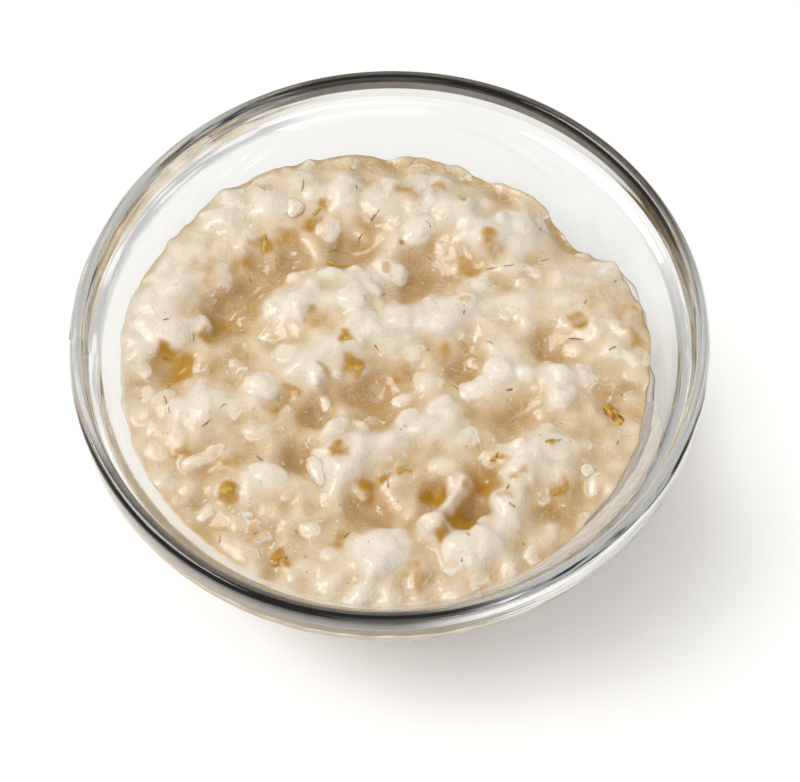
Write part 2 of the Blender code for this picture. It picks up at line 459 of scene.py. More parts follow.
# Lumps and whole grains that show one by one, in millimetres and degrees:
# (x, y, length, width, turn, rise above the broad shape, whiteness). All rises are scaled by LUMP_RISE
LUMP_RISE = 0.80
LUMPS = (
    (-27, 42, 12, 9, 10, 1.5, 0.5), (-20, 49, 9, 7, 0, 1.1, 0.2), (-9, 54, 6, 5, 0, 1.9, -0.6),
    (-9, 46, 10, 8, 80, 1.8, 0.5), (-13, 37, 8, 5, 80, 1.5, 0.4), (2, 46, 9, 6, 100, 1.2, 0.1),
    (-3, 43, 8, 5, 110, 1.0, 0.0), (8, 49, 8, 5, 0, 1.0, 0.2), (14, 48, 6, 4, 0, 1.2, 0.2),
    (18, 41, 7, 6, 20, 1.5, 0.3), (8, 35, 9, 7, 40, 2.0, 1.0), (3, 37, 3, 3, 0, 1.2, 0.6),
    (-40, 40, 7, 5, 30, 0.9, 0.1), (-35, 45, 7, 4, 20, 0.9, -0.3), (-33, 32, 6, 4, 50, 0.9, 0.0),
    (-44, 30, 8, 5, 45, 1.1, 0.3), (-39, 24, 9, 8, 0, 1.4, -0.4), (-48, 20, 10, 7, 30, 1.4, 0.4),
    (-54, 17, 8, 6, 50, 1.0, 0.2), (-50, 8, 11, 8, 10, 1.9, 0.3), (-43, 10, 9, 5, 80, 1.7, 0.8),
    (-42, 2, 8, 5, 70, 1.3, 0.1), (-56, 5, 7, 5, 80, 0.9, 0.2), (-26, 15, 6, 5, 60, 1.7, 0.4),
    (-21, 23, 5, 5, 0, 1.7, 0.4), (-20, 14, 8, 7, 20, 2.2, 0.6), (-17, 20, 5, 4, 30, 1.6, 0.5),
    (-13, 23, 6, 5, 0, 1.8, 0.7), (-8, 15, 8, 7, 0, 2.0, 0.6), (-4, 19, 6, 4, -40, 1.4, 0.2),
    (-6, 11, 7, 5, -20, 1.2, 0.4), (-26, 8, 7, 4, 10, 0.9, 0.0), (0, 24, 9, 8, 0, 1.4, 0.9),
    (24, 32, 10, 7, 10, 2.4, 0.6), (32, 34, 8, 8, 0, 1.4, 0.2), (28, 25, 10, 6, 0, 0.8, 0.2),
    (21, 21, 8, 6, 60, 0.9, 0.5), (-17, -2, 9, 6, 95, 1.8, 0.8), (-8, -2, 5, 4, 0, 0.9, 0.0),
    (-4, 7, 8, 5, 25, 1.2, 0.6), (5, 3, 7, 5, 30, 1.0, 0.4), (8, -5, 8, 6, 0, 1.4, 0.4),
    (12, 10, 10, 6, 20, 1.5, 0.8), (3, 10, 7, 5, 35, 1.1, 0.5), (17, 15, 8, 5, 0, 1.0, 0.9),
    (-15, -9, 4, 5, 0, 1.2, 0.9), (-13, -17, 8, 5, 35, 1.8, 0.6), (-8, -15, 4, 3, 0, 1.0, 0.5),
    (-4, -14, 5, 4, 0, 1.4, 0.2), (3, -15, 8, 4.5, 60, 1.6, 0.4), (3, -9, 6, 4, 30, 1.3, 0.7),
    (10, -12, 8, 4, 50, 1.3, 0.5), (-13, -22, 9, 4, 22, 1.2, -0.5), (-29, -6, 8, 7, 0, 2.3, 1.0),
    (-41, -10, 10, 9, 0, 1.4, 0.7), (-35, -11, 7, 5, -20, 1.0, 0.5), (-30, -17, 10, 6, -15, 1.5, 0.8),
    (-41, -23, 11, 4, 25, 1.7, 0.5), (-50, -9, 8, 7, 0, 0.9, 0.1), (-36, -31, 6, 5, 0, 1.4, 0.0),
    (-28, -28, 10, 6, -10, 1.5, 0.7), (-34, -39, 5, 4, 0, 0.9, 0.5), (-18, -41, 4, 4, 0, 1.2, 0.7),
    (-14, -47, 5, 4, 0, 1.0, 0.6), (-13, -53, 7, 5, 30, 1.0, 0.6), (38, -5, 6.4, 5.6, 0, 2.8, 1.0),
    (37.5, -10, 6.8, 6, 10, 2.7, 0.8), (30, -4, 5.5, 5, 0, 2.0, 0.8), (24, -3, 6.5, 6, 0, 2.0, 0.8),
    (20, -7, 7, 6, 0, 1.7, 0.9), (43, -5, 7, 6, 90, 1.5, 0.6), (42, 2, 6, 5, 0, 1.5, 0.2),
    (50, 1, 6, 6, 0, 1.3, 0.4), (47, 7, 7, 5, 60, 1.0, 0.3), (33, -14, 4, 3.5, 0, 1.1, 0.6),
    (34, -18, 4, 3, 0, 0.9, 0.7), (44, -13, 5, 5, 0, 0.9, 0.4), (35, -23, 9, 8, 0, 1.3, 0.3),
    (15, -20, 9, 6, 20, 1.1, 0.7), (11, -26, 8, 6, 0, 1.3, 0.4), (22, -25, 6, 5, 0, 1.1, 0.3),
    (14, -47, 9, 8, 0, 2.0, 0.7), (8, -42, 6, 6, 0, 1.5, 0.3), (28, -28, 9, 6, -60, 1.3, 0.6),
    (24, -37, 9, 6, -65, 1.2, 0.6), (19, -45, 9, 6, -50, 1.0, 0.5), (3, -38, 4, 4, 0, 1.3, 0.3),
    (-3, -47, 14, 12, 0, 1.8, 0.5), (-5, -51, 6, 5.5, 0, 2.9, 0.8), (4, -52, 11, 6, 75, 1.2, -0.6),
)

# Golden stains, in millimetres: (x, y, radius, strength). They spread a little past their radius
STAIN_SPREAD = 1.2
STAINS = (
    (53, 11, 4.5, 0.45), (55, 4, 3.0, 0.60), (50, 17, 4.0, 0.30), (-50, 3, 2.2, 1.0),
    (-47, 1, 2.4, 0.9), (-41, 9, 2.0, 0.7), (-38, 12, 2.4, 0.6), (-41, 24, 3.0, 0.6),
    (-33, 28, 2.2, 0.7), (-28, 32, 1.6, 0.9), (-17, 37, 2.2, 0.9), (-23, 34, 3.0, 0.6),
    (-14, 42, 1.2, 0.8), (-4, 36, 2.0, 0.5), (-12, 27, 1.6, 0.7), (5, 45, 2.4, 0.6), (13, 47, 1.6, 0.6),
    (17, 43, 1.2, 1.0), (24, 30, 3.0, 0.6), (19, 25, 3.0, 0.6), (4, 32, 1.0, 0.8), (-17, 10, 2.4, 0.5),
    (-10, 5, 1.3, 1.0), (-8, -1, 1.8, 0.8), (2, -3, 2.6, 0.6), (-15, -3, 1.8, 0.6), (12, 3, 2.0, 0.7),
    (16, -4, 2.0, 0.5), (43, 9, 1.8, 0.8), (54, 6, 2.6, 0.5), (47, 15, 3.6, 0.4), (-22, -7, 1.3, 1.0),
    (-26, -12, 1.4, 0.7), (-47, -22, 2.6, 0.7), (-36, -25, 2.8, 0.6), (-12, -23, 2.4, 0.7),
    (-36, -32, 1.8, 0.9), (-31, -42, 2.4, 0.5), (-25, -48, 1.4, 1.0), (-6, -31, 2.2, 0.9),
    (-2, -29, 1.0, 0.9), (2, -27, 1.4, 0.8), (9, -33, 2.2, 1.0), (19, -31, 2.4, 1.0),
    (14, -40, 2.4, 1.0), (10, -44, 1.6, 0.8), (-12, -43, 1.4, 0.6), (23, -25, 1.0, 0.8),
    (27, -31, 1.6, 0.5), (24, -35, 1.4, 0.5), (36, -33, 1.4, 0.6), (35, -22, 1.0, 0.8),
    (4, -54, 3.0, 0.5), (38, -38, 4.0, 0.3),
)

# Broad patches where the gel is lighter (or, below 0, darker and more golden) than elsewhere: (x, y,
# radius, strength)
PALER = (
    (24, 24, 20, 0.60), (10, -2, 16, 0.25), (-2, -46, 10, 0.35), (-38, 8, 16, -0.40),
    (-32, -24, 18, -0.45), (-14, 38, 12, -0.30), (50, -12, 12, -0.30),
)

LINE = np.arange(-RASTER_HALF, RASTER_HALF + RASTER_STEP / 2, RASTER_STEP)
GRID_X, GRID_Y = np.meshgrid(LINE, LINE, indexing="ij")
WAVES = np.fft.fftfreq(len(LINE), RASTER_STEP)
WAVE_SQUARED = WAVES[:, None] ** 2 + WAVES[None, :] ** 2


def blurred(field, reach):
    """The field smoothed over a reach, in metres."""
    keep = np.exp(-2.0 * (math.pi * reach) ** 2 * WAVE_SQUARED)
    return np.fft.ifft2(np.fft.fft2(field) * keep).real


def rough_field(wavelength):
    """Even random unevenness of about one wavelength, with a spread of 1."""
    field = rng.standard_normal(GRID_X.shape)
    field = blurred(field, wavelength * 0.22) - blurred(field, wavelength * 0.5)
    return field / field.std()


def read_raster(field, x, y):
    """The field's value at places (x, y), between its samples."""
    column = np.clip((x + RASTER_HALF) / RASTER_STEP, 0, len(LINE) - 1.001)
    row = np.clip((y + RASTER_HALF) / RASTER_STEP, 0, len(LINE) - 1.001)
    left = column.astype(int)
    low = row.astype(int)
    right_share = column - left
    high_share = row - low
    lower = field[left, low] * (1 - right_share) + field[left + 1, low] * right_share
    upper = field[left, low + 1] * (1 - right_share) + field[left + 1, low + 1] * right_share
    return lower * (1 - high_share) + upper * high_share


def read_at(field, x, y):
    return float(read_raster(field, np.array(x), np.array(y)))


def round_swell(x, y, middle_x, middle_y, radius):
    """1 at the middle and soft all round; the middle and the radius are in millimetres."""
    return np.exp(-((x - middle_x * MM) ** 2 + (y - middle_y * MM) ** 2) / (radius * MM) ** 2)


def broad_shape(x, y):
    height = FILL_HEIGHT - (TILT_LEFT * x + TILT_FRONT * y) / RIM_RADIUS
    for middle_x, middle_y, radius, rise in MOUNDS:
        height = height + BOLDER * rise * MM * round_swell(x, y, middle_x, middle_y, radius)
    for start_x, start_y, end_x, end_y, half_width, rise in RIDGES:
        along = np.array((end_x - start_x, end_y - start_y)) * MM
        from_x = x - start_x * MM
        from_y = y - start_y * MM
        share = np.clip((from_x * along[0] + from_y * along[1]) / (along @ along), 0.0, 1.0)
        swell = round_swell(from_x - share * along[0], from_y - share * along[1], 0.0, 0.0, half_width)
        height = height + BOLDER * rise * MM * swell
    return height


def scattered_places(spacing, jitter, reach):
    """Places on a shaken honeycomb inside a circle."""
    places = []
    rows = int(reach / spacing * 1.2) + 1
    for row in range(-rows, rows + 1):
        for column in range(-rows, rows + 1):
            x = (column + 0.5 * (row % 2)) * spacing + chance.gauss(0.0, jitter)
            y = row * spacing * 0.866 + chance.gauss(0.0, jitter)
            if math.hypot(x, y) < reach:
                places.append((x, y))
    chance.shuffle(places)
    return places


def grain(x, y, length, width, turn, rise, white, ground, tilt=0.0):
    """One swollen grain: its middle, half sizes, turn and whiteness."""
    half = length / 2.0
    wide = width / 2.0
    tall = min(half, wide) * 0.85
    return {
        "middle": Vector((x, y, ground + rise - tall)),
        "size": Vector((half, wide, tall)),
        "turn": Euler((chance.gauss(0.0, tilt), chance.gauss(0.0, tilt), turn)),
        "white": white,
        "core": max(0.0, chance.gauss(0.1, 0.45)),
    }


def chosen_lumps(base):
    grains = []
    for x, y, length, width, turn, rise, white in LUMPS:
        ground = read_at(base, x * MM, y * MM)
        sizes = (length * MM, width * MM, math.radians(turn), rise * LUMP_RISE * MM)
        grains.append(grain(x * MM, y * MM, *sizes, white, ground))
    return grains


def edge_lumps(base):
    """Lumps that crowd the edge where the helping meets the glass, so that its outline is knobbly."""
    grains = []
    turn = 0.0
    while turn < math.tau:
        reach = chance.uniform(53.5, 57.0) * MM
        x = reach * math.cos(turn)
        y = reach * math.sin(turn)
        ground = read_at(base, x, y)
        length = chance.uniform(4.5, 7.5) * MM
        width = length * chance.uniform(0.6, 0.85)
        rise = chance.uniform(0.0, 1.0) * MM
        lean = turn + chance.gauss(0.0, 0.8)
        grains.append(grain(x, y, length, width, lean, rise, chance.uniform(0.2, 0.9), ground, 0.2))
        turn += chance.uniform(0.07, 0.13)
    return grains


def filler_grains(base, spacing, jitter, lengths, plumpness, rises, clearance):
    """Grains that fill the places between the chosen lumps, and lie deeper in the hollows."""
    grains = []
    hollow = np.maximum(0.0, blurred(base, 6.0 * MM) - base)
    for x, y in scattered_places(spacing, jitter, 60.0 * MM):
        covered = False
        for lump_x, lump_y, length, width, turn, _rise, _white in LUMPS:
            away = Vector((x - lump_x * MM, y - lump_y * MM))
            away.rotate(Matrix.Rotation(-math.radians(turn), 2))
            nearness = (away.x / length) ** 2 + (away.y / width) ** 2
            covered = covered or nearness < (0.5 * MM * clearance) ** 2
        if covered:
            continue
        length = chance.uniform(*lengths)
        width = length * chance.uniform(*plumpness)
        ground = read_at(base, x, y)
        rise = chance.uniform(*rises) - 0.9 * read_at(hollow, x, y)
        turn = chance.uniform(0.0, math.pi)
        grains.append(grain(x, y, length, width, turn, rise, chance.gauss(0.2, 0.4), ground, 0.3))
    return grains


class Top:
    """The uneven top as it is built up on the raster, grain by grain."""

    MERGE = 0.42 * MM

    def __init__(self):
        self.base = broad_shape(GRID_X, GRID_Y)
        self.floor = self.base.min() - 4.0 * MM
        gel = self.base - 0.1 * MM + 0.45 * MM * rough_field(8.0 * MM) + 0.08 * MM * rough_field(3.0 * MM)
        self.weight = np.exp((gel - self.floor) / self.MERGE)
        self.strongest = self.weight.copy()
        self.white = self.weight * 0.0
        self.ring = self.weight * 0.0
        self.core = self.weight * 0.0
        self.shift_x = 0.35 * MM * rough_field(5.0 * MM)
        self.shift_y = 0.35 * MM * rough_field(5.0 * MM)
        self.grit = 0.04 * MM * rough_field(1.6 * MM)

    def add(self, grain):
        """Join one grain to the top, its outline a little uneven."""
        size = grain["size"]
        reach = max(size) * 1.15
        first = int((grain["middle"].x - reach + RASTER_HALF) / RASTER_STEP)
        second = int((grain["middle"].y - reach + RASTER_HALF) / RASTER_STEP)
        cells = int(2 * reach / RASTER_STEP) + 2
        window = (slice(max(first, 0), first + cells), slice(max(second, 0), second + cells))
        dx = GRID_X[window] + self.shift_x[window] - grain["middle"].x
        dy = GRID_Y[window] + self.shift_y[window] - grain["middle"].y
        turn = np.array(grain["turn"].to_matrix())
        shape = turn @ np.diag([1.0 / axis**2 for axis in size]) @ turn.T
        tilt = shape[0, 2] * dx + shape[1, 2] * dy
        flat = shape[0, 0] * dx**2 + 2 * shape[0, 1] * dx * dy + shape[1, 1] * dy**2 - 1.0
        inside = tilt**2 - shape[2, 2] * flat
        rise = (-tilt + np.sqrt(np.maximum(inside, 0.0))) / shape[2, 2]
        height = grain["middle"].z + rise + self.grit[window]
        weight = np.exp((height - self.floor) / self.MERGE) * (inside > 0.0)
        self.weight[window] += weight
        self.white[window] += weight * grain["white"]
        wins = weight > self.strongest[window]
        self.ring[window] = np.where(wins, np.sqrt(np.clip(flat + 1.0, 0.0, 1.0)), self.ring[window])
        self.core[window] = np.where(wins, grain["core"], self.core[window])
        self.strongest[window] = np.maximum(self.strongest[window], weight)

    def finished(self):
        """Height and looks of the top on the raster."""
        height = self.floor + self.MERGE * np.log(self.weight)
        fillet = blurred(height, 1.1 * MM) - 0.10 * MM
        soft = 0.18 * MM
        height = fillet + soft * np.log1p(np.exp(np.clip((height - fillet) / soft, -40.0, 40.0)))
        height = blurred(height, 0.44 * MM)
        gold = np.zeros_like(height)
        uneven = (GRID_X + self.shift_x * 2.0, GRID_Y + self.shift_y * 2.0)
        for x, y, radius, strength in STAINS:
            gold = np.maximum(gold, strength * round_swell(*uneven, x, y, radius * STAIN_SPREAD))
        white = blurred(self.white / self.weight, 0.3 * MM)
        for x, y, radius, strength in PALER:
            white += strength * round_swell(GRID_X, GRID_Y, x, y, radius)
        return {
            "height": height,
            "white": white,
            "seam": blurred(1.0 - self.strongest / self.weight, 0.15 * MM),
            "gold": gold,
            "ring": blurred(self.ring, 0.15 * MM),
            "core": blurred(self.core, 0.3 * MM),
            "cavity": (blurred(height, 1.8 * MM) - height) / MM,
            "hollow": (blurred(height, 7.0 * MM) - blurred(height, 1.5 * MM)) / MM,
        }


# ---------------------------------------------------------------- the helping as a mesh

def disc_of_squares(cells):
    """Points of a square grid pressed into a disc of radius 1, as distance and angle."""
    steps = np.linspace(-1.0, 1.0, cells + 1)
    a, b = np.meshgrid(steps, steps, indexing="ij")
    wide = np.abs(a) > np.abs(b)
    with np.errstate(divide="ignore", invalid="ignore"):
        reach = np.where(wide, a, b)
        turn = np.where(wide, math.pi / 4 * b / a, math.pi / 2 - math.pi / 4 * a / b)
    turn = np.where((a == 0) & (b == 0), 0.0, turn)
    return reach.ravel(), turn.ravel()


def band(upper, lower):
    """Faces between two closed rings of points, given as their indices."""
    following = list(range(1, len(upper))) + [0]
    return [(upper[here], lower[here], lower[after], upper[after]) for here, after in enumerate(following)]


def edge_loop(cells):
    """Indices of a square grid's outer points, once round."""
    side = cells + 1
    loop = [index * side for index in range(cells)]
    loop += [cells * side + index for index in range(cells)]
    loop += [(cells - index) * side + cells for index in range(cells)]
    loop += [cells - index for index in range(cells)]
    return loop


LOOKS = ("white", "seam", "gold", "cavity", "hollow", "ring", "core")


def make_helping(top, finish):
    """One closed body: the lumpy top, and a wall and bottom that reach just into the glass."""
    reach, turn = disc_of_squares(TOP_CELLS)
    ball = INNER_CURVE + INTO_GLASS
    across = np.cos(turn)
    along = np.sin(turn)
    edge = np.sign(reach) * EDGE_GUESS
    for _ in range(8):
        edge_height = read_raster(top["height"], edge * across, edge * along)
        edge = np.sign(reach) * ball_radius(edge_height, ball)
    radius = np.abs(reach) * np.abs(edge)
    signed = np.sign(reach) * radius
    x = signed * across
    y = signed * along
    z = read_raster(top["height"], x, y)
    from_wall = np.abs(edge) - radius
    z = z + EDGE_CREEP * np.exp(-from_wall / EDGE_CREEP_REACH)
    outer = np.abs(reach) > 0.99999
    wall_radius = ball_radius(z, ball)
    grow = np.where(outer, wall_radius / np.maximum(radius, MM), 1.0)
    x = x * grow
    y = y * grow
    points = np.column_stack([x, y, z])
    side = TOP_CELLS + 1
    faces = []
    for column in range(TOP_CELLS):
        for row in range(TOP_CELLS):
            corner = column * side + row
            faces.append((corner, corner + side, corner + side + 1, corner + 1))
    loop = edge_loop(TOP_CELLS)
    rim = points[loop]
    angles = np.arctan2(rim[:, 1], rim[:, 0])
    start = np.arcsin((rim[:, 2] - CURVE_CENTRE) / ball)
    rings = [loop]
    stacked = [points]
    count = len(points)
    for ring in range(1, WALL_RINGS):
        tilt = start + (-math.pi / 2 - start) * ring / WALL_RINGS
        flat = ball * np.cos(tilt)
        height = CURVE_CENTRE + ball * np.sin(tilt)
        stacked.append(np.column_stack([flat * np.cos(angles), flat * np.sin(angles), height]))
        rings.append(range(count, count + len(loop)))
        count += len(loop)
    stacked.append(np.array([[0.0, 0.0, CURVE_CENTRE - ball]]))
    for upper, lower in zip(rings, rings[1:]):
        faces += band(upper, lower)
    last = list(rings[-1])
    faces += [(here, count, after) for here, after in zip(last, last[1:] + last[:1])]
    all_points = np.vstack(stacked)
    helping = new_piece("porridge_helping", all_points.tolist(), (), faces)
    mesh = helping.data
    for name in LOOKS:
        values = np.zeros(len(all_points))
        values[: len(points)] = read_raster(top[name], x, y)
        store(mesh, name, values)
    mesh.shade_smooth()
    face_outwards(mesh)
    mesh.materials.append(finish)
    belongs(helping, "porridge")
    return helping


def porridge_finish(name, see_depth, see_colour):
    """Cooked cereal: creamy and translucent, wet on top. Its creases, hollows and the seams between grains
    are darker and more golden, partly its own colour and partly painted shade.
    """
    material, w, shader = new_finish(name)
    place = w.object_place()
    white, seam, gold, cavity, hollow, ring, core = [w.attribute(look) for look in LOOKS]
    cloud = w.noise(place, 120.0, 3.0, 0.6)
    patch = w.noise(place, 360.0, 3.0, 0.55)
    grit = w.noise(place, 1600.0, 2.0, 0.6)
    warp = w.noise(place, 260.0, out=1)
    warped = w.vectors("ADD", place, w.vectors("SCALE", warp, 5.0 * MM))
    fleck = w.node("ShaderNodeTexVoronoi", {"feature": "F1"}, {"Vector": warped, "Scale": 750.0})
    rare = w.noise(place, 190.0, 2.0, 0.5)
    bent = w.vectors("ADD", place, w.vectors("SCALE", warp, 1.8 * MM))
    film = w.noise(bent, 200.0, 1.0)
    layers = film.between(0.38, 0.40) + film.between(0.47, 0.49) + film.between(0.56, 0.58)
    # Painted highlight: thin light lines just beside two of the film steps, along the edges that the bump
    # raises.
    edges = film.between(0.38, 0.395) * (0.43 - film).between(0.0, 0.03)
    edges = edges + film.between(0.47, 0.485) * (0.52 - film).between(0.0, 0.03)
    pale = (0.24 - fleck).between(0.0, 0.07) * rare.between(0.46, 0.58)
    creamy = (cloud - 0.5) * 0.7 + (patch - 0.5) * 0.45 + (ring - 0.72).between(0.0, 0.25) * 0.5
    # Painted shade, partly the cereal's own colour: the colour darkens from cream to deep amber in
    # creases, hollows, seams between grains and at the edges of grains; random tone and whiteness also
    # move it.
    depth = (cavity * 0.72 + hollow * 0.48 + creamy + seam * 0.3 - white * 0.45).between(-1.0, 1.3)
    cream = w.node("ShaderNodeValToRGB", {"stops": (
        (0.0, (0.76, 0.675, 0.56)),
        (0.38, (0.69, 0.560, 0.385)),
        (0.7, (0.60, 0.442, 0.245)),
        (1.0, (0.49, 0.31, 0.125)),
    )}, {"Fac": depth})
    outline = (ring - 0.62).between(0.0, 0.12) * (0.98 - ring).between(0.0, 0.15)
    milk = white.between(0.3, 1.1) * 0.48 + outline * 0.55 + pale * 0.5
    milk = milk + (layers - 1.5) * 0.16 + edges * 0.24
    milky = w.mixed(milk.between(0.0, 1.0), cream, (0.80, 0.735, 0.635))
    middle = core * (0.55 - ring).between(0.0, 0.4) * (ring * 40.0).between(0.0, 1.0)
    # Amber in random patches of the creases and hollows: partly bran gathered there, partly painted shade.
    sunken_amber_shade = (cavity * 0.8 + hollow * 0.25).between(-0.05, 0.8) * rare.between(0.46, 0.66)
    amber = gold * (0.38 + patch * 1.45) + middle * patch * 0.7 + sunken_amber_shade * 0.36
    coloured = w.mixed(amber.between(0.02, 1.0), milky, (0.47, 0.235, 0.006))
    speck = grit.between(0.64, 0.74) * 0.6
    finished = w.mixed(speck, coloured, (0.50, 0.32, 0.10))
    wet = w.noise(place, 900.0, 2.0)
    height = patch * 0.4 + grit * 0.28 + wet * 0.35 + layers * 0.9
    set_shader(w, shader, {
        "Base Color": finished,
        "Roughness": 0.32 + patch * 0.24,
        "IOR": 1.4,
        "Subsurface Weight": 1.0,
        "Subsurface Radius": see_colour,
        "Subsurface Scale": see_depth,
        "Coat Weight": 0.15 + cloud * 0.5,
        "Coat Roughness": 0.06,
        "Normal": w.relief(0.45, 0.25 * MM, height),
    })
    return material


# ---------------------------------------------------------------- whole grains and small things

def keep_local(mesh):
    """Remember where each point lies in its own variant, for markings that follow the shape."""
    store(mesh, "lay", [tuple(vertex.co) for vertex in mesh.vertices], "FLOAT_VECTOR")


def finished_variant(name, shape):
    variant = new_piece(name, [])
    shape.to_mesh(variant.data)
    shape.free()
    keep_local(variant.data)
    return variant


def swollen_grain(name, seed):
    """A grain of unit half sizes: a soft oval of 54 faces, a little lumpy and narrower at one end."""
    dice = random.Random(seed)
    shape = bmesh.new()
    bmesh.ops.create_cube(shape, size=2.0)
    bmesh.ops.subdivide_edges(shape, edges=shape.edges, cuts=2, use_grid_fill=True)
    waves = []
    for _ in range(4):
        direction = Vector([dice.gauss(0.0, 1.9) for _axis in range(3)])
        waves.append((direction, dice.uniform(0.0, math.tau)))
    taper = dice.uniform(-0.25, 0.25)
    crease = dice.choice((0.0, 0.0, 0.18))
    for vertex in shape.verts:
        at = vertex.co.normalized()
        swell = 1.0 + sum(math.sin(at.dot(wave) + phase) for wave, phase in waves) * 0.065
        narrow = 1.0 + taper * at.x
        groove = crease * math.exp(-((at.y / 0.25) ** 2)) * max(0.0, at.z)
        vertex.co = Vector((at.x * swell, at.y * swell * narrow, at.z * swell * narrow - groove))
    return finished_variant(name, shape)


def husk_flake(name, seed):
    """A torn, curled leaf of husk, 2 long and about 1 wide, with a thin wall."""
    dice = random.Random(seed)
    shape = bmesh.new()
    bmesh.ops.create_grid(shape, x_segments=9, y_segments=4, size=1.0)
    curl = dice.uniform(0.25, 0.6)
    twist = dice.uniform(-0.5, 0.5)
    lean = dice.uniform(-0.4, 0.4)
    for vertex in shape.verts:
        x, y = vertex.co.x, vertex.co.y
        width = 0.5 * (1.0 - 0.75 * abs(x) ** 2.5) * (1.0 + lean * x)
        tear = 0.19 * dice.uniform(-1.0, 1.0) * abs(y)
        across = y * width + tear
        lift = curl * (1.0 - (x * 0.8) ** 2) * 0.5 - 1.2 * across**2 + twist * x * across
        vertex.co = Vector((x + tear, across, lift))
    bmesh.ops.solidify(shape, geom=shape.faces[:], thickness=0.06)
    bmesh.ops.recalc_face_normals(shape, faces=shape.faces)
    return finished_variant(name, shape)


def tube_faces(rings, sides):
    """Faces that join equal rings of points and close both ends."""
    loops = [range(ring * sides, (ring + 1) * sides) for ring in range(rings)]
    faces = [tuple(loops[0]), tuple(loops[-1])]
    for upper, lower in zip(loops, loops[1:]):
        faces += band(upper, lower)
    return faces


def bran_sliver(name, seed):
    """A bent, tapering splinter of bran, 2 long."""
    dice = random.Random(seed)
    bow = dice.uniform(-0.35, 0.35)
    hook = dice.uniform(-0.25, 0.25)
    rings = 6
    sides = 5
    points = []
    for ring in range(rings):
        along = -1.0 + 2.0 * ring / (rings - 1)
        thick = 0.09 * (1.0 - 0.75 * abs(along) ** 2) * dice.uniform(0.8, 1.2)
        for side in range(sides):
            angle = math.tau * side / sides
            y = bow * (1.0 - along**2) + hook * along**3 + thick * math.cos(angle)
            points.append((along, y, thick * math.sin(angle)))
    variant = new_piece(name, points, (), tube_faces(rings, sides))
    face_outwards(variant.data)
    keep_local(variant.data)
    return variant


def bran_speck(name, seed):
    """A crumb of bran: a flat, angular scrap."""
    dice = random.Random(seed)
    shape = bmesh.new()
    bmesh.ops.create_icosphere(shape, subdivisions=1, radius=1.0)
    for vertex in shape.verts:
        vertex.co *= dice.uniform(0.65, 1.15)
        vertex.co.z *= 0.5
    return finished_variant(name, shape)


def planting_steps(w, points, variants, pick, turn, size, material):
    """Puts a variant on each point, and ends the tree."""
    settings = {"transform_space": "ORIGINAL"}
    sockets = {"Collection": variants, "Separate Children": True, "Reset Children": True}
    shapes = w.node("GeometryNodeCollectionInfo", settings, sockets)
    placed = w.node("GeometryNodeInstanceOnPoints", {}, {
        "Points": points,
        "Instance": shapes,
        "Pick Instance": True,
        "Instance Index": pick,
        "Rotation": turn,
        "Scale": size,
    })
    end_tree(w, placed, material)


def planting_tree():
    """Plants variants on points that carry their own pick, turn and size."""
    inputs = (
        ("Variants", "Collection", None),
        ("Material", "Material", None),
        ("Overall Size", "Float", 1.0),
    )
    tree, w, ends = new_tree("plant_on_points", inputs)
    turned = w.node("FunctionNodeEulerToRotation", {}, {0: w.stored("turn", "FLOAT_VECTOR")})
    scaled = w.vectors("SCALE", w.stored("size", "FLOAT_VECTOR"), ends["Overall Size"])
    pick = w.stored("pick", "INT")
    planting_steps(w, ends["Geometry"], ends["Variants"], pick, turned, scaled, ends["Material"])
    return tree


def random_value(w, kind, low, high, seed):
    """A random value for each point; kind is FLOAT or INT."""
    first = 2 if kind == "FLOAT" else 4
    sockets = {first: low, first + 1: high, "Seed": seed}
    return w.node("FunctionNodeRandomValue", {"data_type": kind}, sockets, out=first // 2)


def scattering_tree():
    """Scatters variants over the upward faces inside a radius, each laid along the surface."""
    inputs = (
        ("Variants", "Collection", None),
        ("Material", "Material", None),
        ("Per Square Metre", "Float", 10000.0),
        ("Smallest", "Float", 0.5 * MM),
        ("Largest", "Float", 1.0 * MM),
        ("Reach", "Float", 56.0 * MM),
        ("Sunk", "Float", 0.1 * MM),
        ("Seed", "Int", 1),
    )
    tree, w, ends = new_tree("scatter_on_top", inputs)
    across, along, _height = w.parts(w.node("GeometryNodeInputPosition"))
    from_middle = (across * across + along * along).maths("SQRT")
    upward = w.parts(w.node("GeometryNodeInputNormal"))[2]
    chosen = from_middle.maths("LESS_THAN", ends["Reach"]) * upward.maths("GREATER_THAN", 0.2)
    spread = {"Mesh": ends["Geometry"], "Density": ends["Per Square Metre"] * chosen, "Seed": ends["Seed"]}
    points = w.node("GeometryNodeDistributePointsOnFaces", {}, spread)
    spread_node = points.socket.node
    normal = Signal(w, spread_node.outputs["Normal"])
    rotation = Signal(w, spread_node.outputs["Rotation"])
    spin = random_value(w, "FLOAT", 0.0, math.tau, ends["Seed"] + 1)
    spun = w.node("FunctionNodeEulerToRotation", {}, {0: w.vector(z=spin)})
    turned = w.node("FunctionNodeRotateRotation", {"rotation_space": "LOCAL"}, {0: rotation, 1: spun})
    size = random_value(w, "FLOAT", ends["Smallest"], ends["Largest"], ends["Seed"] + 2)
    pick = random_value(w, "INT", 0, 99, ends["Seed"] + 3)
    tint = random_value(w, "FLOAT", 0.0, 1.0, ends["Seed"] + 4)
    down = w.vectors("SCALE", normal, ends["Sunk"] * -1.0)
    lowered = w.node("GeometryNodeSetPosition", {}, {"Geometry": points, "Offset": down})
    stored = {"Geometry": lowered, "Name": "tint", "Value": tint}
    tinted = w.node("GeometryNodeStoreNamedAttribute", {"data_type": "FLOAT", "domain": "POINT"}, stored)
    planting_steps(w, tinted, ends["Variants"], pick, turned, w.vector(size, size, size), ends["Material"])
    return tree


